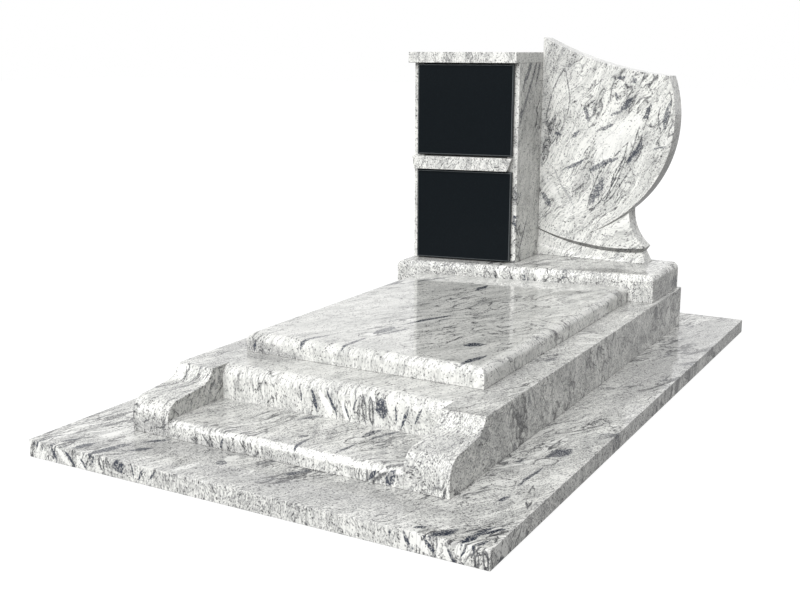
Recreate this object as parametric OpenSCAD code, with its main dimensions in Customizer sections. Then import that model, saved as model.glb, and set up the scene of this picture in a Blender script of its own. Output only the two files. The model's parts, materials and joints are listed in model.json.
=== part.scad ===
// Grave monument of polished granite: a base slab, a kerb surround with ogee ends and a front step,
// a tomb slab, a socle turned to one side, a two-niche columbarium and a carved stele.
// Millimetres. X runs across the grave, Y from its foot to its head and Z up.
// The origin is the middle of the base slab's underside.

/* [Base slab] */
// Width of the base slab
base_w = 1400; // [1300:10:1700]
// Length of the base slab
base_l = 2400; // [2300:10:2800]
// Thickness of the base slab
base_t = 50; // [30:1:100]

/* [Kerb surround] */
// Width over the two side kerbs
ring_w = 1000; // [900:10:1200]
// Length of the side kerbs
ring_l = 2000; // [1900:10:2200]
// Thickness of the side and back kerbs
kerb_t = 128; // [110:1:150]
// Height of the kerbs above the base slab
kerb_h = 150; // [135:1:200]

/* [Ogee ends of the side kerbs] */
// Length of the ogee from the kerb's foot to its top arris
ogee_l = 199; // [180:1:240]
// Height of the upright face at the kerb's foot
ogee_foot_h = 50; // [48:1:70]
// Radius of the round nose above the foot
ogee_nose_r = 48; // [30:1:48]
// Radius of the hollow below the top arris
ogee_hollow_r = 58; // [50:1:70]
// Height of the hollow's centre above the kerb's top
ogee_hollow_lift = 16; // [0:1:30]

/* [Front step and front kerb] */
// Depth of the step, from the kerbs' feet to the front kerb
step_d = 243; // [200:1:300]
// Height of the step above the base slab
step_h = 50; // [30:1:70]
// Radius of the step's nosing
step_nose_r = 20; // [5:1:28]
// Depth of the front kerb
front_kerb_d = 200; // [180:1:260]
// Radius of the front kerb's nosing
front_kerb_r = 38; // [5:1:60]

/* [Tomb slab] */
// Width of the tomb slab
slab_w = 800; // [780:1:860]
// Thickness of the tomb slab
slab_t = 60; // [40:1:90]
// Distance of the slab's front behind the front kerb's face
slab_setback = 157; // [100:1:170]
// Radius of the slab's rounded top edges
slab_edge_r = 28; // [5:1:38]
// Open joint between the slab's back end and the socle
slab_joint = 10; // [2:1:20]

/* [Socle] */
// Width of the socle
socle_w = 972; // [940:1:1000]
// Depth of the socle on the centre line
socle_d = 414; // [380:1:480]
// Height of the socle
socle_h = 100; // [60:1:160]
// Distance of the socle's back inside the kerbs' back
socle_back_inset = 11; // [0:1:30]
// Radius of the socle's rounded top edges
socle_edge_r = 25; // [5:1:25]
// Turn of the socle's front and of the columbarium's front, in degrees
head_turn = 10; // [0:0.5:12]
// Distance of the columbarium's and stele's backs inside the socle's back
head_back_inset = 26; // [0:1:30]

/* [Columbarium] */
// Width over the columbarium's side panels
niche_w = 404; // [380:1:430]
// Distance of the columbarium's left side inside the socle's left side
niche_side_inset = 25; // [25:1:40]
// Distance of the panels' front edges behind the socle's front
niche_setback = 85; // [60:1:110]
// Thickness of the side panels
panel_t = 40; // [20:1:60]
// Thickness of the back panel
back_panel_t = 30; // [20:1:50]
// Height of the lower niche
lower_niche_h = 353; // [280:1:420]
// Height of the upper niche
upper_niche_h = 351; // [280:1:420]
// Thickness of the shelf between the niches
shelf_t = 50; // [30:1:70]
// Overhang of the shelf's nosing in front of the panels
shelf_overhang = 35; // [25:1:50]
// Distance of the nosing's top left end inside the left panel's outer side
shelf_left_inset = 1; // [0:1:20]
// Distance of the nosing's top right end inside the right panel's outer side
shelf_right_inset = 16; // [0:1:20]
// Length by which the slanted left end shortens the nosing's underside
shelf_left_slant = 6; // [0:1:20]
// Length by which the slanted right end shortens the nosing's underside
shelf_right_slant = 17; // [0:1:20]
// Thickness of the top slab
top_slab_t = 40; // [30:1:60]
// Overhang of the top slab in front of the panels
top_front_overhang = 35; // [20:1:60]
// Overhang of the top slab beyond the left panel
top_side_overhang = 9; // [0:1:20]

/* [Niche doors] */
// Thickness of the door plates
door_t = 20; // [10:1:25]
// Width of panel left bare beside the door plates
door_margin = 17; // [5:1:18]
// Gap under each door plate
door_gap_below = 5; // [1:1:15]
// Gap over each door plate
door_gap_above = 3; // [1:1:10]
// Chamfer round the front of the door plates
door_chamfer = 4; // [1:0.5:8]

/* [Stele] */
// Thickness of the stele
stele_t = 88; // [70:1:100]
// Height of the stele at its upright left edge
stele_h = 850; // [820:1:900]
// Radius of the hollow top edge
sail_top_r = 1392; // [1100:1:2000]
// Radius of the sail's round right edge
sail_r = 449; // [430:1:460]
// Distance of the sail's centre from the stele's left edge
sail_x = 80; // [60:1:100]
// Height of the sail's centre above the socle
sail_z = 547; // [540:1:560]
// Angle at the sail's centre of the corner where the top meets the right edge
sail_corner_angle = 21.3; // [15:0.1:30]
// Angle below level at the sail's centre where its edge runs out into the flatter tail
tail_angle = 50; // [45:1:60]
// Radius of the sail's tail
tail_r = 750; // [600:1:1000]
// Radius of the hollow neck under the sail
neck_r = 174; // [165:1:185]
// Distance of the neck's centre from the stele's left edge
neck_x = 543; // [535:1:555]
// Height of the neck's centre above the socle
neck_z = 199; // [190:1:205]
// Height of the leaf's tip above the socle
tip_z = 61; // [50:1:70]
// Radius of the leaf's lower edge
leaf_r = 818; // [780:1:900]
// Distance of the leaf edge's centre from the stele's left edge
leaf_x = 284; // [260:1:310]
// Height of the plain nib at the leaf's tip
nib_h = 2; // [1:0.5:5]
// Height of the undercut lip at the leaf's tip
lip_h = 20; // [10:1:30]
// Depth of the undercut below the leaf's tip
lip_d = 14; // [5:1:20]
// Width of the foot on the socle
foot_w = 446; // [430:1:460]
// Distance from the stele's left edge at which the leaf starts to sink behind the sail
leaf_start = 197; // [150:1:240]
// Angle by which the leaf's face sinks towards its tip
leaf_slope = 2.8; // [0.5:0.1:4]
// Distance from the stele's left edge at which the foot starts to sink behind the leaf
foot_start = -97; // [-120:1:-60]
// Angle by which the foot's face sinks towards the leaf's tip
foot_slope = 3.2; // [1:0.1:4]
// Reach of the foot's splay, below the leaf's edge
foot_splay_h = 62; // [55:1:80]

/* [Hidden] */
// Facets of a full circle
$fn = 360;

granite = [0.80, 0.81, 0.80];
black_granite = [0.11, 0.12, 0.14];

// Overlap by which a cutter passes the face that it cuts
cut = 1;
// Depth by which a straight line is let into an arc that it runs into
bite = 0.2;

// Levels
kerb_z = base_t + kerb_h;
socle_z = kerb_z + socle_h;
shelf_z = socle_z + lower_niche_h;
upper_niche_z = shelf_z + shelf_t;
top_slab_z = upper_niche_z + upper_niche_h;

// Places along the grave
ring_front = -ring_l / 2;
ring_back = ring_l / 2;
front_kerb_y = ring_front + step_d;
slab_front = front_kerb_y + slab_setback;
socle_back = ring_back - socle_back_inset;
socle_front = socle_back - socle_d;
head_back = socle_back - head_back_inset;
stele_front = head_back - stele_t;

// Places across the grave
kerb_inner_w = ring_w - 2 * kerb_t;
niche_left = -socle_w / 2 + niche_side_inset;
niche_right = niche_left + niche_w;
front_w = niche_w / cos(head_turn);

// Place along Y of a line parallel to the turned front, a set distance behind it
function turned_y(x, behind) = socle_front + x * tan(head_turn) + behind / cos(head_turn);

// Centre of a circle of radius r through points a and b, on the left of the way from a to b
function arc_centre(a, b, r) =
    let (mid = (a + b) / 2, half = norm(b - a) / 2, way = (b - a) / (2 * half))
    mid + sqrt(r * r - half * half) * [-way[1], way[0]];

// Ogee: centres of the two arcs and the straight line that touches both
nose_c = [ogee_nose_r, ogee_foot_h];
hollow_c = [ogee_l - sqrt(pow(ogee_hollow_r, 2) - pow(ogee_hollow_lift, 2)), kerb_h + ogee_hollow_lift];
ogee_run = hollow_c - nose_c;
ogee_rise = atan2(ogee_run[1], ogee_run[0]) - asin((ogee_nose_r + ogee_hollow_r) / norm(ogee_run));
ogee_normal = [-sin(ogee_rise), cos(ogee_rise)];
nose_end = nose_c + (ogee_nose_r - bite) * ogee_normal;
hollow_start = hollow_c - (ogee_hollow_r - bite) * ogee_normal;

// Stele: points and centres in its own plane, from its lower left corner
sail_c = [sail_x, sail_z];
tail_way = [cos(tail_angle), -sin(tail_angle)];
tail_c = sail_c - (tail_r - sail_r) * tail_way;
sail_corner = sail_c + sail_r * [cos(sail_corner_angle), sin(sail_corner_angle)];
sail_top_c = arc_centre([0, stele_h], sail_corner, sail_top_r);
neck_c = [neck_x, neck_z];
tip = [neck_x - sqrt(pow(neck_r, 2) - pow(neck_z - tip_z, 2)), tip_z];
tip_depth = (tip[0] - leaf_start) * tan(leaf_slope);
leaf_c = [leaf_x, tip_z - nib_h + sqrt(pow(leaf_r + tip_depth, 2) - pow(tip[0] - leaf_x, 2))];

// Draws its children in the YZ plane and extrudes them along X, centred
module along_x(w) {
    rotate([90, 0, 90]) linear_extrude(w, center = true) children();
}

// Draws its children in the XZ plane and extrudes them along Y, from y = 0
module along_y(l) {
    translate([0, l, 0]) rotate([90, 0, 0]) linear_extrude(l) children();
}

// Moves its children to a line parallel to the turned front, with X along that line from the given place
module on_turned_line(x, behind) {
    translate([x, turned_y(x, behind), 0]) rotate([0, 0, head_turn]) children();
}

// Section of a slab whose first top corner is rounded
module nosed_section(l, h, r) {
    square([l, h - r]);
    translate([r, 0]) square([l - r, h]);
    translate([r, h - r]) circle(r);
}

// Section of a slab, centred on X, whose two top corners are rounded
module rounded_section(w, h, r) {
    translate([-w / 2, 0]) square([w, h - r]);
    translate([r - w / 2, 0]) square([w - 2 * r, h]);
    for (side = [-1, 1]) translate([side * (w / 2 - r), h - r]) circle(r);
}

// Outline of a side kerb, with the ogee at its front end
module kerb_section() {
    difference() {
        square([ring_l, kerb_h]);
        difference() {
            polygon([
                [-cut, ogee_foot_h], nose_c, nose_end, hollow_start,
                hollow_c, [hollow_c[0], kerb_h + cut], [-cut, kerb_h + cut]
            ]);
            translate(nose_c) circle(ogee_nose_r);
        }
        translate(hollow_c) circle(ogee_hollow_r);
    }
}

module side_kerb(side) {
    translate([side * (ring_w - kerb_t) / 2, ring_front, base_t]) along_x(kerb_t) kerb_section();
}

// Plate in the XZ plane with its back at y = 0 and a chamfer round its front
module chamfered_plate(w, h, t, c) {
    intersection() {
        linear_extrude(h) polygon([[0, 0], [0, c - t], [c, -t], [w - c, -t], [w, c - t], [w, 0]]);
        translate([w / 2, 0, 0]) along_x(w) polygon([[0, 0], [c - t, 0], [-t, c], [-t, h - c], [c - t, h], [0, h]]);
    }
}

// Block between two planes across the grave, from the turned front to a straight back
module turned_block(x0, x1, behind, back, h) {
    linear_extrude(h) polygon([[x0, turned_y(x0, behind)], [x1, turned_y(x1, behind)], [x1, back], [x0, back]]);
}

module niche_door(z, niche_h) {
    color(black_granite)
    translate([0, 0, z + door_gap_below])
    on_turned_line(niche_left, niche_setback)
    translate([door_margin, 0, 0])
    chamfered_plate(front_w - 2 * door_margin, niche_h - door_gap_below - door_gap_above, door_t, door_chamfer);
}

// Solid of revolution about a line along Y, whose radius grows by spread for each millimetre of depth
module cone_y(centre, r, spread) {
    translate([centre[0], -cut, centre[1]])
    rotate([-90, 0, 0])
    cylinder(h = stele_t + cut, r1 = r - spread * cut, r2 = r + spread * stele_t);
}

// Wedge that sinks behind the stele's face towards the right, from the given place
module sinking_wedge(start, slope) {
    far = foot_w + neck_r;
    linear_extrude(neck_z + neck_r) polygon([[start, 0], [start, -cut], [far, -cut], [far, (far - start) * tan(slope)]]);
}

module stele_outline() {
    difference() {
        intersection() {
            translate(sail_c) circle(sail_r);
            translate([0, neck_z]) square([sail_x + sail_r, stele_h]);
        }
        translate(sail_top_c) circle(sail_top_r);
    }
    difference() {
        polygon([[0, 0], [foot_w, 0], tip - [lip_d, lip_h], tip, [tip[0], neck_z + lip_h], [0, neck_z + lip_h]]);
        translate(neck_c) circle(neck_r);
    }
}

module leaf_recess() {
    difference() {
        intersection() {
            sinking_wedge(leaf_start, leaf_slope);
            cone_y(leaf_c, leaf_r, 1);
        }
        cone_y(tail_c, tail_r, 1);
    }
}

module foot_recess() {
    difference() {
        intersection() {
            sinking_wedge(foot_start, foot_slope);
            cone_y(leaf_c, leaf_r + foot_splay_h, -1);
        }
        cone_y(leaf_c, leaf_r, 1);
    }
}

module base_slab() {
    color(granite) translate([-base_w / 2, -base_l / 2, 0]) cube([base_w, base_l, base_t]);
}

module left_kerb() {
    color(granite) side_kerb(-1);
}

module right_kerb() {
    color(granite) side_kerb(1);
}

module back_kerb() {
    color(granite) translate([-kerb_inner_w / 2, ring_back - kerb_t, base_t]) cube([kerb_inner_w, kerb_t, kerb_h]);
}

module front_step() {
    color(granite)
    translate([0, ring_front, base_t])
    along_x(kerb_inner_w) nosed_section(step_d, step_h, step_nose_r);
}

module front_kerb() {
    color(granite)
    translate([0, front_kerb_y, base_t])
    along_x(kerb_inner_w) nosed_section(front_kerb_d, kerb_h, front_kerb_r);
}

module tomb_slab() {
    reach = ring_l;
    color(granite)
    translate([0, 0, kerb_z])
    intersection() {
        translate([0, slab_front, 0]) along_y(reach) rounded_section(slab_w, slab_t, slab_edge_r);
        translate([0, slab_front, 0]) along_x(slab_w) nosed_section(reach, slab_t, slab_edge_r);
        on_turned_line(0, -slab_joint) along_x(2 * slab_w) mirror([1, 0]) nosed_section(reach, slab_t, slab_edge_r);
    }
}

module socle() {
    color(granite)
    translate([0, 0, kerb_z])
    intersection() {
        translate([0, socle_back - socle_w, 0]) along_y(socle_w) rounded_section(socle_w, socle_h, socle_edge_r);
        on_turned_line(0, 0) along_x(2 * socle_w) nosed_section(socle_w, socle_h, socle_edge_r);
    }
}

module side_panel(x) {
    translate([0, 0, socle_z]) turned_block(x, x + panel_t, niche_setback, head_back, top_slab_z - socle_z);
}

module left_panel() {
    color(granite) side_panel(niche_left);
}

module right_panel() {
    color(granite) side_panel(niche_right - panel_t);
}

module back_panel() {
    color(granite)
    translate([niche_left + panel_t, head_back - back_panel_t, socle_z])
    cube([niche_w - 2 * panel_t, back_panel_t, top_slab_z - socle_z]);
}

module middle_shelf() {
    nose_l = front_w - shelf_left_inset - shelf_right_inset;
    root = niche_setback - shelf_overhang / 2;
    color(granite)
    translate([0, 0, shelf_z]) {
        turned_block(niche_left + panel_t, niche_right - panel_t, root, head_back - back_panel_t, shelf_t);
        on_turned_line(niche_left, niche_setback)
        translate([shelf_left_inset, -shelf_overhang, 0])
        along_y(shelf_overhang)
        polygon([[shelf_left_slant, 0], [nose_l - shelf_right_slant, 0], [nose_l, shelf_t], [0, shelf_t]]);
    }
}

module top_slab() {
    color(granite)
    translate([0, 0, top_slab_z])
    turned_block(niche_left - top_side_overhang, niche_right, niche_setback - top_front_overhang, head_back, top_slab_t);
}

module lower_door() {
    niche_door(socle_z, lower_niche_h);
}

module upper_door() {
    niche_door(upper_niche_z, upper_niche_h);
}

module stele() {
    color(granite)
    translate([niche_right, stele_front, socle_z])
    difference() {
        along_y(stele_t) stele_outline();
        leaf_recess();
        foot_recess();
    }
}

base_slab();
left_kerb();
right_kerb();
back_kerb();
front_step();
front_kerb();
tomb_slab();
socle();
left_panel();
right_panel();
back_panel();
middle_shelf();
top_slab();
lower_door();
upper_door();
stele();
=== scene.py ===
"""Grave monument of polished granite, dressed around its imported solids.

Metres, in the frame of the solids: X across the grave, Y from its foot to its head, Z up.
"""

from __future__ import annotations

import json
import logging
import math
from dataclasses import dataclass, field
from enum import Enum

import bmesh
import bpy
from mathutils import Matrix, Vector

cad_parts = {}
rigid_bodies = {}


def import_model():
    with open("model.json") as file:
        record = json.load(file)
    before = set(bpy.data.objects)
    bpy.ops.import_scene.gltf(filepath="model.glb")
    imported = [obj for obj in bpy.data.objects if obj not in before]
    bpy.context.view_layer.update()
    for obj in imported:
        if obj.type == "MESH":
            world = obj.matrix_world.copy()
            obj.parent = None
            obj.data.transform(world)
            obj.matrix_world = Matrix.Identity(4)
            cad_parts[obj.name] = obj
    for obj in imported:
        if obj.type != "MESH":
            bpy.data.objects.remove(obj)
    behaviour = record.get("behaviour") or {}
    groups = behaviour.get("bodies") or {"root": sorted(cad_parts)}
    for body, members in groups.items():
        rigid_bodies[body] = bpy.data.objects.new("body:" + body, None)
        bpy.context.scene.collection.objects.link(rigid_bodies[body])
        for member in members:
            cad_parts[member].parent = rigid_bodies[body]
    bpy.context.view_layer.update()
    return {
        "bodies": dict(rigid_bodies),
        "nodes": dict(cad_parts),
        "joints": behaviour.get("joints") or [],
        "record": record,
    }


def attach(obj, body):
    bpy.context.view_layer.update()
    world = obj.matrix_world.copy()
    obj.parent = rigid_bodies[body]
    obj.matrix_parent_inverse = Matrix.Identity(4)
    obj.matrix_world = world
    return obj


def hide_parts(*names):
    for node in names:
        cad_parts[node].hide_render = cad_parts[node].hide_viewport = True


LOG = logging.getLogger("grave_monument")
Colour = tuple[float, float, float]
Triple = tuple[float, float, float]
Span = tuple[float, float]
Socket = bpy.types.NodeSocket


class Bedding(Enum):
    """Plane of a stone in which its veins swirl, as turns in degrees about X, Y and Z."""

    FLAT = (7.0, -6.0, -67.0)
    FLAT_REVERSED = (-6.0, 7.0, 112.0)
    UPRIGHT = (-90.0, 0.0, -57.0)
    SIDE_ON = (6.0, 8.0, -40.0)


class Graph:
    """Adds nodes to a shader tree and joins them."""

    def __init__(self, tree: bpy.types.NodeTree) -> None:
        """Keeps the tree that the nodes go into."""
        self.tree = tree

    def add(self, kind: str, **settings: object) -> bpy.types.Node:
        """Adds a node.

        Args:
            kind: Blender's name for the type of node.
            settings: Values of the node's own settings.

        Returns:
            The new node.
        """
        node = self.tree.nodes.new(kind)
        for name, value in settings.items():
            setattr(node, name, value)
        return node

    def feed(self, socket: Socket, value: object) -> None:
        """Joins an output to a socket, or sets the socket's own value."""
        if isinstance(value, Socket):
            self.tree.links.new(value, socket)
        else:
            socket.default_value = value

    def number(self, operation: str, *values: object) -> Socket:
        """Does a sum on numbers.

        Args:
            operation: Blender's name for the sum.
            values: Outputs or plain numbers.

        Returns:
            The output with the result.
        """
        node = self.add("ShaderNodeMath", operation=operation)
        for socket, value in zip(node.inputs, values):
            self.feed(socket, value)
        return node.outputs[0]

    def vector(self, operation: str, *values: object) -> Socket:
        """Does a sum on vectors and returns the output with the result."""
        node = self.add("ShaderNodeVectorMath", operation=operation)
        for socket, value in zip(node.inputs, values):
            self.feed(socket, value)
        return node.outputs[0]

    def stretch(self, place: Socket, by: Triple, shift: float = 0.0) -> Socket:
        """Scales a place by a factor for each axis, then shifts it along all of them.

        Args:
            place: Output with the place.
            by: Factors along X, Y and Z.
            shift: Distance of the shift.

        Returns:
            The output with the new place.
        """
        node = self.add("ShaderNodeVectorMath", operation="MULTIPLY_ADD")
        self.feed(node.inputs[0], place)
        self.feed(node.inputs[1], by)
        self.feed(node.inputs[2], (shift, shift, shift))
        return node.outputs[0]

    def noise(
        self,
        place: Socket,
        scale: float,
        detail: float = 2.0,
        rough: float = 0.5,
        colour: bool = False,
    ) -> Socket:
        """Adds a cloudy noise.

        Args:
            place: Output with the place.
            scale: Clouds in a metre.
            detail: Finer octaves.
            rough: Weight of the finer octaves.
            colour: Whether three numbers are wanted instead of one.

        Returns:
            The output with the noise.
        """
        node = self.add("ShaderNodeTexNoise")
        self.feed(node.inputs["Vector"], place)
        self.feed(node.inputs["Scale"], scale)
        self.feed(node.inputs["Detail"], detail)
        self.feed(node.inputs["Roughness"], rough)
        return node.outputs["Color" if colour else "Fac"]

    def sway(self, place: Socket, scale: float, reach: object) -> Socket:
        """Makes an uneven shift of a place.

        Args:
            place: Output with the place.
            scale: Clouds of the shift in a metre.
            reach: Twice the greatest length of the shift along an axis.

        Returns:
            The output with the shift.
        """
        centred = self.vector("SUBTRACT", self.noise(place, scale, colour=True), (0.5, 0.5, 0.5))
        node = self.add("ShaderNodeVectorMath", operation="SCALE")
        self.feed(node.inputs[0], centred)
        self.feed(node.inputs["Scale"], reach)
        return node.outputs[0]

    def crystals(self, place: Socket) -> tuple:
        """Fills space with cells.

        Args:
            place: Output with the place, in cells.

        Returns:
            Three outputs, each with a random number that is the same all over a cell.
        """
        cells = self.add("ShaderNodeTexVoronoi")
        self.feed(cells.inputs["Vector"], place)
        self.feed(cells.inputs["Scale"], 1.0)
        split = self.add("ShaderNodeSeparateColor")
        self.feed(split.inputs[0], cells.outputs["Color"])
        return tuple(split.outputs)

    def ease(
        self, value: object, low: object, high: object, start: object = 0.0, end: object = 1.0
    ) -> Socket:
        """Eases a number from start to end while it goes from low to high.

        Args:
            value: The number.
            low: Number at which the easing starts.
            high: Number at which it ends.
            start: Result at low.
            end: Result at high.

        Returns:
            The output with the result.
        """
        node = self.add("ShaderNodeMapRange", interpolation_type="SMOOTHSTEP")
        for socket, given in zip(node.inputs, (value, low, high, start, end)):
            self.feed(socket, given)
        return node.outputs[0]

    def tint(self, share: object, under: object, over: object) -> Socket:
        """Lays one colour over another.

        Args:
            share: Share of the upper colour.
            under: Lower colour.
            over: Upper colour.

        Returns:
            The output with the colour.
        """
        node = self.add("ShaderNodeMix", data_type="RGBA")
        self.feed(node.inputs[0], share)
        for socket, colour in ((node.inputs[6], under), (node.inputs[7], over)):
            self.feed(socket, (*colour, 1.0) if isinstance(colour, tuple) else colour)
        return node.outputs[2]


class Mark(Enum):
    """What a knot does to the grains of the stone, or the light or shade that it paints on them."""

    # Pale, clear stone; on the step's nosing and the cover's right end it is painted light.
    CLEAR = "Clear"
    DARK = "Dark"
    OUTLINE = "Outline"
    # Painted shade, shadow and dark reflections; on the stele also the stone's own grey tone.
    SHADE = "Shade"


class Face(Enum):
    """Face on which knots are laid out, as the axes along, across and into it."""

    TOP = (0, 1, 2)
    FRONT = (0, 2, 1)
    SIDE = (1, 2, 0)


@dataclass(frozen=True)
class Knot:
    """Lens-shaped feature of the stone or patch of painted light or shade, by its middle and half sizes on a
    face and its turn in degrees.
    """

    mark: Mark
    middle: Span
    half_length: float
    half_width: float
    turn: float
    strength: float = 1.0
    line: float = 0.0042
    line_reach: float = 0.9
    even_fray: float = 0.4
    firm_core: float = 0.65
    soft_core: float = 0.3
    rim: float = 0.95

    def reach(self, g: Graph, place: Socket, layer: KnotLayer) -> Socket:
        """Measures how far a place lies from the knot's middle.

        Args:
            g: Graph of the stone's material.
            place: Output with the place in the stone.
            layer: Layer that the knot lies in.

        Returns:
            The output with a number that is 0 in the middle and 1 on the outline.
        """
        along, across, into = layer.face.value
        middle, size, turn = [0.0] * 3, [0.0] * 3, [0.0] * 3
        middle[along], middle[across], middle[into] = *self.middle, layer.level
        size[along], size[across], size[into] = self.half_length, self.half_width, layer.depth
        turn[into] = math.radians(-self.turn if layer.face is Face.FRONT else self.turn)
        own = g.add("ShaderNodeMapping", vector_type="TEXTURE")
        for name, value in (("Vector", place), ("Location", middle), ("Rotation", turn), ("Scale", size)):
            g.feed(own.inputs[name], value)
        split = g.add("ShaderNodeSeparateXYZ")
        g.feed(split.inputs[0], own.outputs[0])
        u, v, w = (split.outputs[axis] for axis in layer.face.value)
        ends = g.number("MULTIPLY_ADD", u, u, g.number("MULTIPLY", w, w))
        return g.number("ADD", g.number("ABSOLUTE", v), ends)

    def mask(self, g: Graph, place: Socket, ragged: Socket, layer: KnotLayer) -> Socket:
        """Marks the places that belong to the knot.

        Args:
            g: Graph of the stone's material.
            place: Output with the place in the stone.
            ragged: Output with an uneven number about 0 that frays the knot.
            layer: Layer that the knot lies in.

        Returns:
            The output with the knot's strength in it and 0 elsewhere.
        """
        reach = self.reach(g, place, layer)
        if self.mark is Mark.OUTLINE:
            thickness = self.line / self.half_width
            off = g.number("ABSOLUTE", g.number("SUBTRACT", reach, self.line_reach))
            off = g.number("MULTIPLY_ADD", ragged, thickness, off)
            return g.ease(off, 0.0, thickness, self.strength, 0.0)
        fray = layer.fray if self.mark is Mark.DARK else self.even_fray
        core = self.soft_core if self.mark is Mark.SHADE else self.firm_core
        frayed = g.number("MULTIPLY_ADD", ragged, fray, reach)
        return g.ease(frayed, core, self.rim, self.strength, 0.0)


@dataclass(frozen=True)
class KnotLayer:
    """Knots that are laid out on one face of a stone, and how deep they go."""

    face: Face
    level: float
    knots: tuple[Knot, ...]
    depth: float = 0.2
    fray: float = 0.35
    frays_per_metre: float = 70.0
    sway: float = 0.006


@dataclass(frozen=True)
class WedgeRow:
    """Row of pale and dark wedges along the front of a stone."""

    start: Span
    pitch: float
    height: float

    def knots(self) -> tuple[Knot, ...]:
        """Returns the row's knots."""
        made = []
        for mark, top, foot, width in (
            (Mark.DARK, (0.00, 0.85), (0.01, 0.40), 0.014),
            (Mark.DARK, (0.12, 0.98), (0.20, 0.02), 0.026),
            (Mark.CLEAR, (0.19, 1.00), (0.38, 0.00), 0.050),
            (Mark.DARK, (0.29, 1.00), (0.45, 0.00), 0.024),
            (Mark.CLEAR, (0.47, 0.80), (0.56, 0.00), 0.036),
            (Mark.DARK, (0.51, 0.65), (0.60, 0.00), 0.018),
            (Mark.DARK, (0.69, 0.95), (0.63, 0.30), 0.014),
            (Mark.OUTLINE, (0.76, 1.00), (0.80, 0.00), 0.024),
            (Mark.OUTLINE, (0.84, 1.00), (0.88, 0.00), 0.024),
            (Mark.DARK, (0.95, 1.05), (1.00, 0.25), 0.085),
            (Mark.DARK, (1.13, 0.95), (1.15, 0.10), 0.014),
            (Mark.DARK, (1.29, 0.95), (1.20, 0.05), 0.022),
            (Mark.DARK, (1.43, 0.95), (1.35, 0.30), 0.018),
        ):
            across, up = (top[0] - foot[0]) * self.pitch, (top[1] - foot[1]) * self.height
            x = self.start[0] + (top[0] + foot[0]) / 2 * self.pitch
            z = self.start[1] + (top[1] + foot[1]) / 2 * self.height
            turn = math.degrees(math.atan2(up, across))
            made.append(Knot(mark, (x, z), math.hypot(across, up) / 2, width * self.pitch, turn))
        return tuple(made)


@dataclass(frozen=True)
class Strata:
    """Layered noise in the stone, by its waves in a metre along each axis, its shift and its octaves."""

    waves: Triple
    shift: float
    octaves: float
    weight: float = 0.5

    def draw(self, g: Graph, bent: Socket) -> Socket:
        """Returns the output with the noise at a bent place."""
        return g.noise(g.stretch(bent, self.waves, self.shift), 1.0, self.octaves, self.weight)


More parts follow.
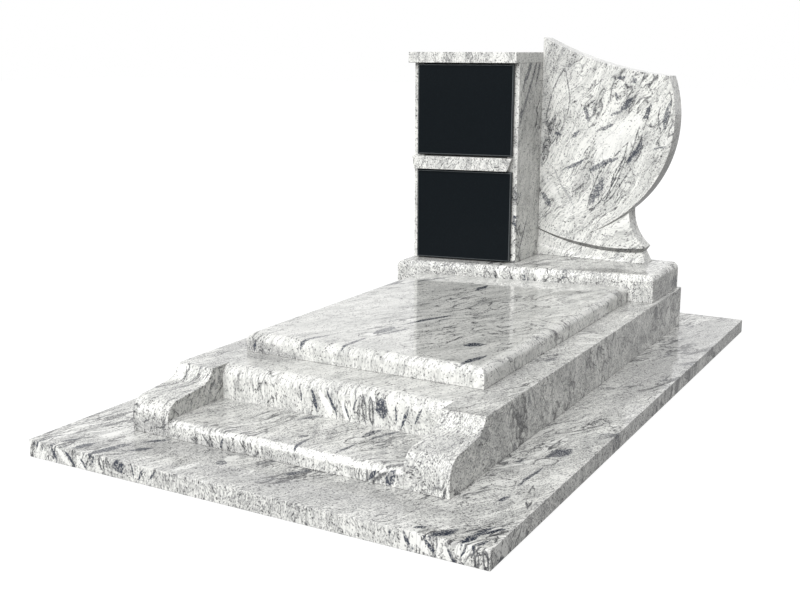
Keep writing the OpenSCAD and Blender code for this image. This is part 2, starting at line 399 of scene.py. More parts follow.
@dataclass(frozen=True)
class VeinPattern:
    """Colours and sizes of the veined granite, as a node group that all its stones share."""

    white: Colour = (0.87, 0.87, 0.835)
    grey: Colour = (0.62, 0.626, 0.60)
    pale: Colour = (0.93, 0.93, 0.90)
    pepper: Colour = (0.26, 0.26, 0.26)
    fleck: Colour = (0.70, 0.70, 0.68)
    vein: Colour = (0.09, 0.093, 0.10)
    mica: Colour = (0.05, 0.05, 0.055)
    blue_black: Colour = (0.030, 0.038, 0.060)
    flattening: Triple = (1.0, 1.0, 0.7)
    swirls: tuple[Span, ...] = ((1.7, 0.36), (7.5, 0.085), (26.0, 0.012))
    region: Strata = Strata((2.0, 4.4, 2.0), 9.0, 2.0)
    flame: Strata = Strata((7.0, 40.0, 11.0), 13.0, 4.0, 0.55)
    ragged: Strata = Strata((22.0, 60.0, 22.0), 3.0, 3.0, 0.6)
    fold: Strata = Strata((3.6, 12.0, 5.0), 21.0, 2.0)
    hairpin: Strata = Strata((5.0, 22.0, 8.0), 33.0, 2.0)
    thread: Strata = Strata((9.0, 62.0, 17.0), 71.0, 1.0)
    patch: Strata = Strata((6.0, 24.0, 9.0), 57.0, 5.0, 0.65)
    cloud: Strata = Strata((3.4, 18.0, 6.0), 0.0, 5.0, 0.6)
    flow: Strata = Strata((9.0, 190.0, 45.0), 5.0, 3.0, 0.65)
    mottle: Strata = Strata((30.0, 40.0, 26.0), 41.0, 3.0, 0.6)
    fine_grains: Triple = (260.0, 320.0, 250.0)
    coarse_grains: Triple = (270.0, 330.0, 260.0)
    region_edge: Span = (0.46, 0.56)
    region_full: float = 0.6
    dark_edge: Span = (0.58, 0.61)
    pale_edge: Span = (0.42, 0.46)
    patch_edge: Span = (0.60, 0.64)
    fold_line: Span = (0.5, 0.028)
    hairpin_line: Span = (0.47, 0.040)
    thread_line: Span = (0.54, 0.060)
    thread_share: float = 0.45
    width_edge: Span = (0.38, 0.70)
    narrowest: float = 0.2
    line_break: Span = (0.40, 0.48)
    stray_lines: float = 0.35
    density_weights: Triple = (0.42, 0.36, 0.22)
    ground_edge: Span = (0.42, 0.60)
    pepper_share: Span = (0.16, 0.70)
    pale_loss: float = 0.92
    mica_edge: Span = (0.45, 0.62)
    mica_share: Span = (0.01, 0.07)
    more_mica: tuple[tuple[str, float], ...] = (("dark", 0.40), ("line", 0.30), ("pale", -0.12))
    clear_loss: float = 0.8
    shade_density: float = 0.20
    shade_cover: float = 0.65
    pale_cover: float = 0.9
    dark_cover: float = 0.60
    line_cover: float = 0.90
    mica_cover: float = 0.9
    speck_edge: Span = (0.50, 0.80)
    speck_cover: Span = (0.97, 0.45)
    polish: Span = (0.04, 0.09)
    name: str = "veined_granite_pattern"

    def group(self) -> bpy.types.NodeTree:
        """Builds the group on its first call.

        Returns:
            The node group.
        """
        made = bpy.data.node_groups.get(self.name)
        if made:
            return made
        tree = bpy.data.node_groups.new(self.name, "ShaderNodeTree")
        tree.interface.new_socket("Place", in_out="INPUT", socket_type="NodeSocketVector")
        for name in ("Swirl", "Veins", "Darkness", *(mark.value for mark in Mark)):
            tree.interface.new_socket(name, in_out="INPUT", socket_type="NodeSocketFloat")
        tree.interface.new_socket("Colour", in_out="OUTPUT", socket_type="NodeSocketColor")
        tree.interface.new_socket("Roughness", in_out="OUTPUT", socket_type="NodeSocketFloat")
        g = Graph(tree)
        place, swirl, veins, darkness, clear, dark, outline, shade = g.add("NodeGroupInput").outputs[:8]
        bent = self.bend(g, place, swirl)
        marks = self.veins(g, bent, veins)
        kept = g.number("MULTIPLY_ADD", clear, -self.clear_loss, 1.0)
        for name in ("dark", "line", "patch"):
            marks[name] = g.number("MULTIPLY", marks[name], kept)
        # The clear mask also carries painted light. The shade mask, mostly painted shade, takes out the pale
        # flames and adds dark grains.
        pale = g.number("MAXIMUM", marks["pale"], clear)
        marks["pale"] = g.number("MULTIPLY", pale, g.number("SUBTRACT", 1.0, shade))
        marks["patch"] = g.number("MAXIMUM", marks["patch"], dark)
        marks["line"] = g.number("MAXIMUM", marks["line"], outline)
        marks["shade"] = shade
        darkness = g.number("MULTIPLY_ADD", shade, self.shade_density, darkness)
        colour, roughness = self.grains(g, bent, darkness, marks)
        end = g.add("NodeGroupOutput")
        g.feed(end.inputs["Colour"], colour)
        g.feed(end.inputs["Roughness"], roughness)
        return tree

    def bend(self, g: Graph, place: Socket, swirl: Socket) -> Socket:
        """Bends a place so that straight layers swirl.

        Args:
            g: Graph of the group.
            place: Output with the place.
            swirl: Output with the strength.

        Returns:
            The output with the bent place.
        """
        flat = g.stretch(place, self.flattening)
        bent = place
        for scale, reach in self.swirls:
            bent = g.vector("ADD", bent, g.sway(flat, scale, g.number("MULTIPLY", swirl, reach)))
        return bent

    def veins(self, g: Graph, bent: Socket, strength: Socket) -> dict:
        """Draws dark and pale flames, thin lines and blue-black patches.

        Args:
            g: Graph of the group.
            bent: Output with the bent place.
            strength: Output with the strength of the veins.

        Returns:
            The outputs with each mark's mask, by its name.
        """
        region = g.number("MULTIPLY", g.ease(self.region.draw(g, bent), *self.region_edge), strength)
        flame = self.flame.draw(g, bent)
        ragged = self.ragged.draw(g, bent)
        faint = g.number("MULTIPLY", strength, self.thread_share)
        line = 0.0
        for strata, (level, broadest), depth in (
            (self.fold, self.fold_line, 1.0),
            (self.hairpin, self.hairpin_line, 1.0),
            (self.thread, self.thread_line, faint),
        ):
            width = g.ease(ragged, *self.width_edge, self.narrowest * broadest, broadest)
            off = g.number("ABSOLUTE", g.number("SUBTRACT", strata.draw(g, bent), level))
            line = g.number("MAXIMUM", line, g.ease(off, 0.0, width, depth, 0.0))
        line = g.number("MULTIPLY", line, g.ease(ragged, *self.line_break))
        near = g.ease(region, 0.0, self.region_full, self.stray_lines, 1.0)
        patch = g.ease(self.patch.draw(g, bent), *self.patch_edge)
        return {
            "dark": g.number("MULTIPLY", g.ease(flame, *self.dark_edge), region),
            "pale": g.number("MULTIPLY", g.ease(flame, *self.pale_edge, 1.0, 0.0), region),
            "line": g.number("MULTIPLY", line, near),
            "patch": g.number("MULTIPLY", patch, region),
        }

    def grains(self, g: Graph, bent: Socket, darkness: Socket, marks: dict) -> tuple:
        """Fills the stone with crystals, more and darker ones where it is marked, and darkens it where shade
        is painted.

        Args:
            g: Graph of the group.
            bent: Output with the bent place.
            darkness: Output with the amount of dark grains to add.
            marks: Outputs with the masks of the veins.

        Returns:
            The outputs with the colour and the roughness.
        """
        cloud, flow, mottle = (strata.draw(g, bent) for strata in (self.cloud, self.flow, self.mottle))
        density = darkness
        for part, weight in zip((cloud, flow, mottle), self.density_weights):
            density = g.number("MULTIPLY_ADD", part, weight, density)
        fine = g.crystals(g.stretch(bent, self.fine_grains))
        coarse = g.crystals(g.stretch(bent, self.coarse_grains))
        share = g.ease(density, *self.ground_edge, *self.pepper_share)
        kept = g.number("MULTIPLY_ADD", marks["pale"], -self.pale_loss, 1.0)
        pepper = g.number("LESS_THAN", fine[0], g.number("MULTIPLY", share, kept))
        rare = g.ease(density, *self.mica_edge, *self.mica_share)
        for name, more in self.more_mica:
            rare = g.number("MULTIPLY_ADD", marks[name], more, rare)
        black = g.number("LESS_THAN", coarse[0], rare)
        ground = g.number("MULTIPLY_ADD", cloud, 0.5, g.number("MULTIPLY", flow, 0.5))
        colour = g.tint(g.ease(ground, *self.ground_edge), self.white, self.grey)
        # Painted shade: the colour is tinted toward the pepper colour under the shade mask; on the stele in
        # a few places this is the stone's grey tone.
        colour = g.tint(g.number("MULTIPLY", marks["shade"], self.shade_cover), colour, self.pepper)
        colour = g.tint(g.number("MULTIPLY", marks["pale"], self.pale_cover), colour, self.pale)
        colour = g.tint(pepper, colour, g.tint(fine[1], self.pepper, self.fleck))
        colour = g.tint(g.number("MULTIPLY", marks["dark"], self.dark_cover), colour, self.vein)
        colour = g.tint(g.number("MULTIPLY", marks["line"], self.line_cover), colour, self.vein)
        colour = g.tint(g.number("MULTIPLY", black, self.mica_cover), colour, self.mica)
        speck = g.ease(coarse[1], *self.speck_edge, *self.speck_cover)
        colour = g.tint(g.number("MULTIPLY", marks["patch"], speck), colour, self.blue_black)
        return colour, g.ease(pepper, 0.0, 1.0, *self.polish)


@dataclass(frozen=True)
class VeinedGranite:
    """Polished light granite with flowing dark veins, as cut for one stone, with painted shade on faces that
    look down.
    """

    bedding: Bedding
    offset: Triple
    swirl: float = 0.6
    veins: float = 1.0
    darkness: float = 0.0
    layers: tuple[KnotLayer, ...] = ()
    ior: float = 1.6
    bounce_loss: float = 0.5
    # Painted shade on faces that look down, darkest where they face straight down.
    underside_painted_shade: float = 0.65
    underside_shade_edge: Span = (-0.75, -0.10)
    bends_per_metre: float = 7.0
    bend: float = 0.030
    sways_per_metre: float = 60.0
    ragged_range: Span = (3.0, -1.5)
    breaks_per_metre: float = 16.0
    break_edge: Span = (0.34, 0.44)

    def marks(self, g: Graph, place: Socket) -> list:
        """Joins the masks of all knots of each mark.

        Args:
            g: Graph of the stone's material.
            place: Output with the place in the stone.

        Returns:
            A mask, or 0 where there is none, for each mark in turn.
        """
        joined = {mark: 0.0 for mark in Mark}
        bent = g.vector("ADD", place, g.sway(place, self.bends_per_metre, self.bend))
        for layer in self.layers:
            swayed = g.vector("ADD", bent, g.sway(place, self.sways_per_metre, layer.sway))
            frays = g.noise(place, layer.frays_per_metre, 4.0, 0.7)
            ragged = g.number("MULTIPLY_ADD", frays, *self.ragged_range)
            for knot in layer.knots:
                mask = knot.mask(g, swayed, ragged, layer)
                joined[knot.mark] = g.number("MAXIMUM", joined[knot.mark], mask)
        broken = g.ease(g.noise(place, self.breaks_per_metre), *self.break_edge)
        joined[Mark.OUTLINE] = g.number("MULTIPLY", joined[Mark.OUTLINE], broken)
        return list(joined.values())

    def material(self, stone: str) -> bpy.types.Material:
        """Makes the stone's material.

        Args:
            stone: Name of the stone.

        Returns:
            The material.
        """
        made = bpy.data.materials.new("veined_granite_" + stone)
        made.use_nodes = True
        g = Graph(made.node_tree)
        shader = made.node_tree.nodes["Principled BSDF"]
        place = g.add("ShaderNodeTexCoord").outputs["Object"]
        own = g.add("ShaderNodeMapping")
        g.feed(own.inputs["Vector"], place)
        own.inputs["Location"].default_value = self.offset
        own.inputs["Rotation"].default_value = [math.radians(turn) for turn in self.bedding.value]
        pattern = g.add("ShaderNodeGroup", node_tree=VeinPattern().group())
        values = [own.outputs[0], self.swirl, self.veins, self.darkness, *self.marks(g, place)]
        for socket, value in zip(pattern.inputs, values):
            g.feed(socket, value)
        path = g.add("ShaderNodeLightPath")
        bounced = g.number("MULTIPLY", path.outputs["Is Diffuse Ray"], self.bounce_loss)
        # Painted shade: faces that look down are darkened toward black; diffuse bounces also lose light.
        facing = g.add("ShaderNodeSeparateXYZ")
        g.feed(facing.inputs[0], g.add("ShaderNodeNewGeometry").outputs["Normal"])
        painted_underside_shade = g.ease(facing.outputs["Z"], *self.underside_shade_edge, self.underside_painted_shade, 0.0)
        painted_shade_and_bounce_loss = g.number("MAXIMUM", bounced, painted_underside_shade)
        g.feed(shader.inputs["Base Color"], g.tint(painted_shade_and_bounce_loss, pattern.outputs["Colour"], (0.0, 0.0, 0.0)))
        g.feed(shader.inputs["Roughness"], pattern.outputs["Roughness"])
        shader.inputs["IOR"].default_value = self.ior
        return made


@dataclass(frozen=True)
class BlackGranite:
    """Polished black granite with a faint dark blue grain."""

    ground: Colour = (0.0075, 0.0098, 0.0118)
    grain: Colour = (0.0115, 0.0148, 0.0175)
    grains_per_metre: float = 420.0
    grain_edge: Span = (0.45, 0.70)
    polish_edge: Span = (0.3, 0.7)
    polish: Span = (0.05, 0.11)
    specular: float = 0.025
    # Painted highlight: the paler colour and roughness of the arris faces.
    ground_edge: Colour = (0.09, 0.10, 0.105)
    edge_roughness: float = 0.35

    def painted_highlight_material(self, stone: str) -> bpy.types.Material:
        """Makes the paler material of the stone's arrises, a painted highlight along its edges.

        Args:
            stone: Name of the stone.

        Returns:
            The material.
        """
        made = bpy.data.materials.new("black_granite_painted_highlight_" + stone)
        made.use_nodes = True
        shader = made.node_tree.nodes["Principled BSDF"]
        shader.inputs["Base Color"].default_value = (*self.ground_edge, 1.0)
        shader.inputs["Roughness"].default_value = self.edge_roughness
        return made

    def material(self, stone: str) -> bpy.types.Material:
        """Makes the stone's material.

        Args:
            stone: Name of the stone.

        Returns:
            The material.
        """
        made = bpy.data.materials.new("black_granite_" + stone)
        made.use_nodes = True
        g = Graph(made.node_tree)
        shader = made.node_tree.nodes["Principled BSDF"]
        place = g.add("ShaderNodeTexCoord").outputs["Object"]
        grain = g.noise(place, self.grains_per_metre, 2.0, 0.6)
        colour = g.tint(g.ease(grain, *self.grain_edge), self.ground, self.grain)
        g.feed(shader.inputs["Base Color"], colour)
        g.feed(shader.inputs["Roughness"], g.ease(grain, *self.polish_edge, *self.polish))
        shader.inputs["Specular IOR Level"].default_value = self.specular
        return made


@dataclass(frozen=True)
class Arris:
    """Small rounded edge that a mason grinds on every sharp corner."""

    width: float = 0.0015
    segments: int = 2
    least_angle: float = 25.0
    flat_angle: float = 0.2
    weld: float = 0.00001

    def cut(self, stone: bpy.types.Object) -> bpy.types.Modifier:
        """Rounds the stone's sharp edges with modifiers and returns the one that cuts."""
        weld = stone.modifiers.new("weld", "WELD")
        weld.merge_threshold = self.weld
        flat = stone.modifiers.new("flat_faces", "DECIMATE")
        flat.decimate_type = "DISSOLVE"
        flat.angle_limit = math.radians(self.flat_angle)
        edge = stone.modifiers.new("arris", "BEVEL")
        edge.width = self.width
        edge.segments = self.segments
        edge.limit_method = "ANGLE"
        edge.angle_limit = math.radians(self.least_angle)
        edge.miter_outer = "MITER_SHARP"
        even = stone.modifiers.new("even_shading", "WEIGHTED_NORMAL")
        even.keep_sharp = False
        return edge


@dataclass
class StoneWork:
    """Stones of one sub-assembly, each with its finish and its arris."""

    finishes: dict[str, VeinedGranite | BlackGranite]
    arris: Arris = field(default_factory=Arris)

    def dress(self, frame: dict) -> None:
        """Gives each stone its material and its arrises.
        """
        for name, finish in self.finishes.items():
            stone = frame["nodes"][name]
            stone.data.materials.clear()
            stone.data.materials.append(finish.material(name))
            edge = self.arris.cut(stone)
            # The arris faces of black stones take the paler painted-highlight material.
            if isinstance(finish, BlackGranite):
                stone.data.materials.append(finish.painted_highlight_material(name))
                edge.material = 1
            LOG.info("%s: %s", name, type(finish).__name__)


@dataclass
class Stele:
    """Carved stone of sail, neck, leaf and foot, with the arrises ground."""

    finish: VeinedGranite
    arris: float = 0.0015
    segments: int = 2
    sharp_angle: float = 30.0
    shortest_edge: float = 0.003
    flat_angle: float = 0.4
    weld: float = 0.00002
    node: str = "stele"
    name: str = "carved_stele"

    def shape(self, solid: bpy.types.Mesh) -> bpy.types.Mesh:
        """Makes the finished mesh from a copy of the solid's.

        Args:
            solid: Mesh of the plain solid.

        Returns:
            The mesh with whole faces, ground arrises and sharp inner corners.
        """
        limit = math.radians(self.sharp_angle)
        work = bmesh.new()
        work.from_mesh(solid)
        bmesh.ops.remove_doubles(work, verts=work.verts, dist=self.weld)
        flat = math.radians(self.flat_angle)
        bmesh.ops.dissolve_limit(work, angle_limit=flat, verts=work.verts, edges=work.edges)
        outer = [
            edge
            for edge in work.edges
            if edge.is_convex and edge.calc_face_angle() > limit and edge.calc_length() > self.shortest_edge
        ]
        bmesh.ops.bevel(
            work,
            geom=outer,
            offset=self.arris,
            offset_type="OFFSET",
            segments=self.segments,
            profile=0.5,
            affect="EDGES",
            clamp_overlap=False,
        )
        for face in work.faces:
            face.smooth = True
        for edge in work.edges:
            edge.smooth = edge.is_convex or edge.calc_face_angle(0.0) < limit
        made = bpy.data.meshes.new(self.name)
        work.to_mesh(made)
        work.free()
        return made

    def dress(self, frame: dict) -> None:
        """Makes the stele in the place of its solid.
        """
        piece = bpy.data.objects.new(self.name, self.shape(frame["nodes"][self.node].data))
        bpy.context.scene.collection.objects.link(piece)
        piece.data.materials.clear()
        piece.data.materials.append(self.finish.material(self.node))
        even = piece.modifiers.new("even_shading", "WEIGHTED_NORMAL")
        even.keep_sharp = True
        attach(piece, "root")
        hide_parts(self.node)
        LOG.info("%s: %d faces", self.name, len(piece.data.polygons))


@dataclass
class Studio:
    """Camera, lights, floor and white surround."""

    eye: Triple = (1.60207, -3.20696, 1.10013)
    yaw: float = 29.3265
    pitch: float = 12.7902
    roll: float = 0.1456
    focal_px: float = 1100.694
    image_w: float = 800.0
    sensor: float = 36.0
    floor_half: float = 30.0
    floor_drop: float = 0.001
    floor_bounce: float = 0.14
    floor_shadow: float = 0.25
    floor_glow: float = 0.84
    sky: float = 0.40
    key_from: Triple = (0.02, -0.83, 0.56)
    key: float = 3.3
    fill_from: Triple = (-0.25, 0.95, 0.15)
    fill: float = 1.6
    lamp_angle: float = 50.0
    mirrored_floor: float = 0.35

    def build(self) -> None:
        """Makes the camera, the lights and the floor."""
        self.add_camera()
        self.add_lamp("key_light", self.key_from, self.key)
        self.add_lamp("fill_light", self.fill_from, self.fill)
        self.add_world()
        self.add_floor()

    def add_camera(self) -> None:
        """Sets the camera where the photograph was taken."""
        yaw, pitch, roll = (math.radians(a) for a in (self.yaw, self.pitch, self.roll))
        ahead = Vector((-math.sin(yaw) * math.cos(pitch), math.cos(yaw) * math.cos(pitch), -math.sin(pitch)))
        level = Vector((math.cos(yaw), math.sin(yaw), 0.0))
        up = level.cross(ahead)
        right = math.cos(roll) * level + math.sin(roll) * up
        up = math.cos(roll) * up - math.sin(roll) * level
        lens = bpy.data.cameras.new("camera")
        lens.sensor_width = self.sensor
        lens.lens = self.focal_px / self.image_w * self.sensor
        camera = bpy.data.objects.new("camera", lens)
        bpy.context.scene.collection.objects.link(camera)
        turn = Matrix((right, up, -ahead)).transposed()
        camera.matrix_world = Matrix.Translation(self.eye) @ turn.to_4x4()
        bpy.context.scene.camera = camera

    def add_lamp(self, name: str, source: Triple, energy: float) -> None:
        """Adds one broad soft light that leaves no glare on polished tops.

        Args:
            name: Name of the lamp.
            source: Direction that the light comes from.
            energy: Strength of the light.
        """
        light = bpy.data.lights.new(name, "SUN")
        light.energy = energy
        light.angle = math.radians(self.lamp_angle)
        lamp = bpy.data.objects.new(name, light)
        lamp.rotation_mode = "QUATERNION"
        lamp.rotation_quaternion = Vector(source).to_track_quat("Z", "Y")
        lamp.visible_glossy = False
        bpy.context.scene.collection.objects.link(lamp)

    def seen_directly(self, g: Graph, mirrored: float = 1.0) -> Socket:
        """Tells rays that see the white surround from light that scatters.

        Args:
            g: Graph of the surround's material.
            mirrored: How white it is to mirror rays, from 0 to 1.

        Returns:
            The output, 1 for camera and glass rays and 0 for light that scatters.
        """
        path = g.add("ShaderNodeLightPath")
        mirror = g.number("MULTIPLY", path.outputs["Is Glossy Ray"], mirrored)
        direct = g.number("MAXIMUM", path.outputs["Is Camera Ray"], path.outputs["Is Transmission Ray"])
        return g.number("MAXIMUM", direct, mirror)

    def add_world(self) -> None:
        """Makes a white surround that lights the stone softly."""
        world = bpy.data.worlds.new("white_surround")
        bpy.context.scene.world = world
        world.use_nodes = True
        g = Graph(world.node_tree)
        ground = world.node_tree.nodes["Background"]
        ground.inputs["Color"].default_value = (1.0, 1.0, 1.0, 1.0)
        g.feed(ground.inputs["Strength"], g.ease(self.seen_directly(g), 0.0, 1.0, self.sky, 1.0))

    def add_floor(self) -> None:
        """Lays a plain white floor that takes a faint shadow."""
        h = self.floor_half
        mesh = bpy.data.meshes.new("floor")
        mesh.from_pydata([(-h, -h, 0), (h, -h, 0), (h, h, 0), (-h, h, 0)], [], [(0, 1, 2, 3)])
        floor = bpy.data.objects.new("floor", mesh)
        floor.location.z = -self.floor_drop
        bpy.context.scene.collection.objects.link(floor)
        made = bpy.data.materials.new("white_floor")
        made.use_nodes = True
        g = Graph(made.node_tree)
        nodes = made.node_tree.nodes
        nodes.remove(nodes["Principled BSDF"])
        plain = g.add("ShaderNodeBsdfDiffuse")
        plain.inputs["Color"].default_value = (*[self.floor_bounce] * 3, 1.0)
        dim = g.add("ShaderNodeBsdfDiffuse")
        dim.inputs["Color"].default_value = (*[self.floor_shadow] * 3, 1.0)
        glow = g.add("ShaderNodeEmission")
        glow.inputs["Strength"].default_value = self.floor_glow
        lit = g.add("ShaderNodeAddShader")
        g.feed(lit.inputs[0], dim.outputs[0])
        g.feed(lit.inputs[1], glow.outputs[0])
        choice = g.add("ShaderNodeMixShader")
        g.feed(choice.inputs[0], self.seen_directly(g, self.mirrored_floor))
        g.feed(choice.inputs[1], plain.outputs[0])
        g.feed(choice.inputs[2], lit.outputs[0])
        g.feed(nodes["Material Output"].inputs["Surface"], choice.outputs[0])
        mesh.materials.append(made)


BASE_TOP_Z = 0.05
STEP_TOP_Z = 0.10
KERB_TOP_Z = 0.20
SLAB_TOP_Z = 0.26
BASE_FRONT_Y = -1.2
KERB_FRONT_Y = -1.0
FRONT_KERB_Y = -0.757
SLAB_FRONT_Y = -0.60
STELE_Y = 0.9
PANEL_SIDE_X = -0.057
BASE_TOP = (
    Knot(Mark.DARK, (0.572, -1.168), 0.043, 0.019, 56),
    Knot(Mark.DARK, (0.642, -1.144), 0.064, 0.008, 70),
    Knot(Mark.DARK, (0.640, -1.172), 0.036, 0.011, 71),
    Knot(Mark.DARK, (0.659, -1.121), 0.059, 0.007, 56),
    Knot(Mark.DARK, (0.671, -1.175), 0.033, 0.007, 65),
    Knot(Mark.DARK, (0.509, -1.172), 0.020, 0.008, 42),
    Knot(Mark.OUTLINE, (0.415, -1.164), 0.029, 0.022, 38),
    Knot(Mark.DARK, (0.613, -0.570), 0.055, 0.028, 66),
    Knot(Mark.CLEAR, (0.603, -0.648), 0.029, 0.022, 54, 0.6),
    Knot(Mark.OUTLINE, (0.604, -0.654), 0.038, 0.030, 57),
    Knot(Mark.DARK, (0.610, -0.766), 0.087, 0.007, 87),
    Knot(Mark.OUTLINE, (0.569, -0.835), 0.037, 0.033, 56),
    Knot(Mark.CLEAR, (0.570, -0.835), 0.028, 0.029, 53, 0.5),
    Knot(Mark.CLEAR, (0.633, -0.914), 0.020, 0.027, 50, 0.5),
    Knot(Mark.DARK, (0.606, -0.932), 0.025, 0.009, 69),
    Knot(Mark.OUTLINE, (0.658, -0.885), 0.067, 0.010, 106),
    Knot(Mark.DARK, (-0.458, -1.159), 0.070, 0.011, 75),
    Knot(Mark.DARK, (-0.441, -1.136), 0.064, 0.011, 73),
    Knot(Mark.DARK, (-0.526, -1.159), 0.038, 0.015, 65),
    Knot(Mark.DARK, (-0.595, -1.150), 0.031, 0.009, 60),
    Knot(Mark.DARK, (-0.378, -1.105), 0.037, 0.010, 50),
    Knot(Mark.DARK, (-0.382, -1.039), 0.045, 0.010, 47),
    Knot(Mark.CLEAR, (-0.191, -1.145), 0.044, 0.015, 77),
    Knot(Mark.DARK, (-0.131, -1.080), 0.018, 0.021, 77),
    Knot(Mark.CLEAR, (-0.127, -1.039), 0.031, 0.024, 93),
    Knot(Mark.CLEAR, (-0.027, -1.101), 0.034, 0.011, 83),
    Knot(Mark.OUTLINE, (0.094, -1.038), 0.080, 0.029, 55),
    Knot(Mark.DARK, (0.085, -1.036), 0.047, 0.014, 56),
    Knot(Mark.OUTLINE, (0.130, -1.060), 0.082, 0.010, 50),
    Knot(Mark.OUTLINE, (0.133, -0.992), 0.020, 0.019, 60),
    # Painted shade and darker reflections on the base slab's top, in front of the step and along its right
    # strip.
    Knot(Mark.SHADE, (0.180, -1.100), 0.450, 0.110, 5, 0.45),
    Knot(Mark.SHADE, (-0.300, -1.060), 0.250, 0.080, 20, 0.45),
    Knot(Mark.SHADE, (0.620, 0.600), 0.900, 0.150, 90, 0.8),
)
BASE_FRONT = WedgeRow((-0.65, 0.0), 0.283, 0.05).knots() + WedgeRow((0.45, 0.0), 0.283, 0.05).knots()
# Painted shade on the lower half of the left kerb's end.
KERB_END_PAINTED_SHADE = (Knot(Mark.SHADE, (-0.440, 0.055), 0.180, 0.072, 0),)
# Painted shade on the left kerb's top beside the tomb slab.
LEFT_KERB_TOP_PAINTED_SHADE = (Knot(Mark.SHADE, (-0.460, -0.550), 0.120, 0.050, 90, 0.7),)
FRONT_KERB_FACE = WedgeRow((-0.095, 0.10), 0.273, 0.08).knots()
# Painted reflection of the tomb slab's darker front on the front kerb's ledge.
FRONT_KERB_LEDGE_PAINTED_REFLECTION = (Knot(Mark.SHADE, (-0.320, -0.630), 0.130, 0.035, 0, 0.6),)
STEP_TOP = (
    Knot(Mark.DARK, (0.173, -0.810), 0.048, 0.014, 80),
    Knot(Mark.CLEAR, (0.162, -0.861), 0.021, 0.018, 55),
    Knot(Mark.OUTLINE, (0.161, -0.877), 0.038, 0.026, 65),
    Knot(Mark.DARK, (0.171, -0.942), 0.053, 0.007, 86),
    Knot(Mark.DARK, (0.211, -0.806), 0.063, 0.009, 66),
    Knot(Mark.DARK, (0.048, -0.964), 0.055, 0.007, 85),
    Knot(Mark.DARK, (-0.051, -0.786), 0.051, 0.010, 58),
    Knot(Mark.DARK, (0.025, -0.918), 0.019, 0.011, 61),
)
STEP_FRONT = (
    Knot(Mark.DARK, (0.333, 0.070), 0.032, 0.016, 60),
    Knot(Mark.DARK, (0.281, 0.074), 0.020, 0.007, 59),
    Knot(Mark.DARK, (-0.187, 0.068), 0.019, 0.007, 62),
    # Painted shade on the lower left of the step's front.
    Knot(Mark.SHADE, (-0.180, 0.046), 0.300, 0.038, 0, 0.6),
    # Painted highlight: a pale band along the step's rounded nosing.
    Knot(Mark.CLEAR, (0.060, 0.092), 0.420, 0.014, 0, 0.7),
)
SLAB_TOP = (
    Knot(Mark.DARK, (-0.189, -0.575), 0.088, 0.011, 67),
    Knot(Mark.DARK, (-0.054, -0.536), 0.083, 0.010, 83),
    Knot(Mark.OUTLINE, (-0.061, -0.436), 0.036, 0.030, 64),
    Knot(Mark.CLEAR, (-0.056, -0.428), 0.022, 0.023, 63),
    Knot(Mark.DARK, (-0.046, -0.370), 0.061, 0.023, 84),
    Knot(Mark.DARK, (0.006, -0.181), 0.137, 0.012, 70),
    Knot(Mark.DARK, (-0.009, -0.363), 0.072, 0.011, 69),
    Knot(Mark.DARK, (0.266, -0.389), 0.039, 0.024, 40),
    Knot(Mark.DARK, (0.333, -0.532), 0.071, 0.014, 77),
    Knot(Mark.DARK, (-0.366, 0.260), 0.068, 0.014, 84),
    Knot(Mark.DARK, (-0.277, 0.393), 0.082, 0.013, 64),
    Knot(Mark.DARK, (-0.049, 0.340), 0.061, 0.016, 92),
)
SLAB_FRONT = (
    # Painted shade under the tomb slab's rounded front edge at its left end; the dark streak below is the
    # stone's own.
    Knot(Mark.SHADE, (-0.360, 0.206), 0.270, 0.050, -5),
    Knot(Mark.DARK, (-0.373, 0.220), 0.020, 0.006, 80),
)
# Painted light: lightens the shaded right end of the columbarium's cover.
COVER_END_PAINTED_LIGHT = (Knot(Mark.CLEAR, (0.790, 1.070), 0.300, 0.080, 0, 0.6),)
PANEL_SIDE = (
    Knot(Mark.DARK, (0.733, 1.020), 0.100, 0.014, 54),
    Knot(Mark.DARK, (0.756, 0.970), 0.165, 0.010, 56),
    Knot(Mark.DARK, (0.706, 0.885), 0.090, 0.007, 56),
    Knot(Mark.DARK, (0.716, 1.000), 0.035, 0.015, 55),
    Knot(Mark.DARK, (0.832, 1.025), 0.070, 0.010, 65),
    Knot(Mark.DARK, (0.676, 0.868), 0.026, 0.012, 62),
    Knot(Mark.DARK, (0.720, 0.400), 0.110, 0.007, 60),
    # Painted shade on the right panel's side.
    Knot(Mark.SHADE, (0.760, 0.960), 0.220, 0.080, 56, 0.45),
)
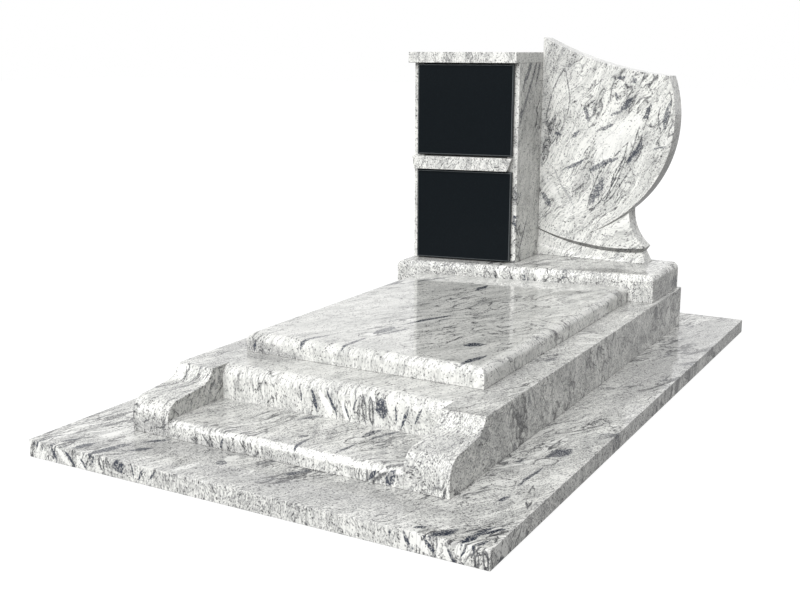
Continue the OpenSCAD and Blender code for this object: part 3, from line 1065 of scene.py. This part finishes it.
STELE_FRONT = (
    Knot(Mark.CLEAR, (0.256, 0.769), 0.159, 0.066, 47, 0.72),
    Knot(Mark.CLEAR, (0.216, 0.762), 0.062, 0.050, 23, 0.72),
    Knot(Mark.CLEAR, (0.000, 0.570), 0.105, 0.017, -58, 0.55),
    Knot(Mark.CLEAR, (0.075, 0.520), 0.090, 0.020, 80, 0.45),
    Knot(Mark.DARK, (0.325, 0.722), 0.061, 0.014, 62, 0.85),
    Knot(Mark.DARK, (0.368, 0.874), 0.042, 0.010, 67, 0.85),
    Knot(Mark.OUTLINE, (0.340, 0.793), 0.123, 0.010, 71),
    Knot(Mark.DARK, (0.284, 0.902), 0.039, 0.018, 46, 0.85),
    Knot(Mark.DARK, (0.244, 0.869), 0.030, 0.009, 26, 0.85),
    Knot(Mark.DARK, (0.246, 0.936), 0.019, 0.008, 101, 0.85),
    Knot(Mark.DARK, (0.311, 0.989), 0.013, 0.012, 54, 0.85),
    Knot(Mark.DARK, (0.211, 0.812), 0.046, 0.009, 23, 0.85),
    Knot(Mark.DARK, (0.207, 0.675), 0.069, 0.014, 27, 0.85),
    Knot(Mark.DARK, (0.182, 0.566), 0.069, 0.019, 63, 0.85),
    Knot(Mark.OUTLINE, (0.216, 0.611), 0.174, 0.035, 62),
    Knot(Mark.OUTLINE, (0.282, 0.635), 0.141, 0.019, 59),
    Knot(Mark.OUTLINE, (0.263, 0.635), 0.081, 0.012, 67),
    Knot(Mark.DARK, (0.443, 0.866), 0.058, 0.012, 77, 0.85),
    Knot(Mark.OUTLINE, (0.434, 0.873), 0.082, 0.026, 80),
    Knot(Mark.OUTLINE, (0.012, 0.885), 0.165, 0.046, 80, 0.8),
    Knot(Mark.DARK, (0.030, 0.600), 0.070, 0.006, -60, 0.45),
    Knot(Mark.DARK, (0.066, 0.545), 0.060, 0.006, -63, 0.45),
    # Painted shade on the stele's upper left and along its left edge beside the panel.
    Knot(Mark.SHADE, (0.020, 1.060), 0.140, 0.090, -50, 0.45),
    Knot(Mark.SHADE, (-0.040, 0.850), 0.220, 0.050, 90, 0.45),
    # A darker grey patch of the stone beside the dark blobs.
    Knot(Mark.SHADE, (0.130, 0.640), 0.100, 0.060, 60, 0.45),
    Knot(Mark.DARK, (-0.022, 0.521), 0.039, 0.014, -51, 0.85),
    Knot(Mark.DARK, (0.081, 0.666), 0.051, 0.010, 30, 0.85),
    Knot(Mark.DARK, (0.014, 0.780), 0.022, 0.007, -12, 0.85),
    Knot(Mark.DARK, (0.088, 0.782), 0.024, 0.010, 40, 0.85),
    Knot(Mark.DARK, (0.420, 0.745), 0.040, 0.006, 15, 0.85),
    Knot(Mark.DARK, (0.130, 0.860), 0.040, 0.011, -60, 0.85),
    Knot(Mark.DARK, (0.262, 1.000), 0.020, 0.009, 10, 0.85),
    # Grey tone of the stone around the dark blobs.
    Knot(Mark.SHADE, (0.190, 0.590), 0.130, 0.050, 63, 0.35),
    Knot(Mark.SHADE, (0.290, 0.900), 0.100, 0.050, 50, 0.35),
    Knot(Mark.SHADE, (0.330, 0.730), 0.120, 0.026, 62, 0.35),
)


def monument() -> list[StoneWork | Stele]:
    """Lists the monument's sub-assemblies from the ground up.

    Returns:
        The sub-assemblies, with the cut of each stone.
    """
    flat, back, upright, side = Bedding.FLAT, Bedding.FLAT_REVERSED, Bedding.UPRIGHT, Bedding.SIDE_ON
    base_layers = (
        KnotLayer(Face.TOP, BASE_TOP_Z, BASE_TOP, 0.03),
        KnotLayer(Face.FRONT, BASE_FRONT_Y, BASE_FRONT, 0.015),
    )
    left_layers = (
        KnotLayer(Face.FRONT, KERB_FRONT_Y, KERB_END_PAINTED_SHADE, 0.06),
        KnotLayer(Face.TOP, KERB_TOP_Z, LEFT_KERB_TOP_PAINTED_SHADE, 0.04),
    )
    step_layers = (
        KnotLayer(Face.TOP, STEP_TOP_Z, STEP_TOP, 0.03),
        KnotLayer(Face.FRONT, KERB_FRONT_Y, STEP_FRONT, 0.03),
    )
    front_layers = (
        KnotLayer(Face.FRONT, FRONT_KERB_Y, FRONT_KERB_FACE, 0.03),
        KnotLayer(Face.TOP, KERB_TOP_Z, FRONT_KERB_LEDGE_PAINTED_REFLECTION, 0.03),
    )
    slab_layers = (
        KnotLayer(Face.TOP, SLAB_TOP_Z, SLAB_TOP, 0.04),
        KnotLayer(Face.FRONT, SLAB_FRONT_Y, SLAB_FRONT, 0.04),
    )
    panel_layers = (KnotLayer(Face.SIDE, PANEL_SIDE_X, PANEL_SIDE, 0.03),)
    cover_layers = (KnotLayer(Face.SIDE, PANEL_SIDE_X, COVER_END_PAINTED_LIGHT, 0.03),)
    stele_layers = (KnotLayer(Face.FRONT, STELE_Y, STELE_FRONT, 0.3, 0.95, 60.0),)
    front_kerb = VeinedGranite(back, (6.4, 7.7, 0.3), veins=0.35, darkness=-0.05, layers=front_layers)
    surround = StoneWork(
        {
            "base_slab": VeinedGranite(flat, (0.3, 1.7, 0.0), darkness=0.025, layers=base_layers),
            "left_kerb": VeinedGranite(back, (4.1, 0.4, 0.2), veins=0.5, layers=left_layers),
            "right_kerb": VeinedGranite(flat, (7.3, 2.2, 0.4), veins=0.7, darkness=0.04),
            "back_kerb": VeinedGranite(flat, (9.7, 5.1, 0.6)),
            "front_step": VeinedGranite(flat, (2.9, 8.3, 0.1), veins=0.5, darkness=0.02, layers=step_layers),
            "front_kerb": front_kerb,
        }
    )
    tomb = VeinedGranite(flat, (12.2, 3.3, 0.5), veins=0.42, darkness=-0.09, layers=slab_layers, ior=1.75)
    grave = StoneWork({"tomb_slab": tomb})
    head = StoneWork({"socle": VeinedGranite(back, (15.1, 1.9, 0.7), darkness=0.05)})
    cover = VeinedGranite(back, (11.5, 13.3, 0.1), veins=0.25, darkness=-0.03, layers=cover_layers)
    columbarium = StoneWork(
        {
            "left_panel": VeinedGranite(side, (1.2, 15.4, 0.2), darkness=-0.04),
            "right_panel": VeinedGranite(side, (3.6, 18.8, 0.5), darkness=-0.07, layers=panel_layers),
            "back_panel": VeinedGranite(flat, (5.8, 12.6, 0.3)),
            "middle_shelf": VeinedGranite(flat, (8.8, 16.1, 0.9), veins=0.4, darkness=-0.01),
            "top_slab": cover,
            "lower_door": BlackGranite(),
            "upper_door": BlackGranite(),
        }
    )
    stele = Stele(VeinedGranite(upright, (17.3, 9.9, 0.4), veins=0.4, darkness=-0.06, layers=stele_layers))
    return [surround, grave, head, columbarium, stele]


def main() -> None:
    """Builds the monument and its studio."""
    logging.basicConfig(level=logging.INFO, format="%(name)s: %(message)s")
    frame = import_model()
    Studio().build()
    for work in monument():
        work.dress(frame)
    bpy.context.scene.view_settings.view_transform = "Standard"


if __name__ == "__main__":
    main()
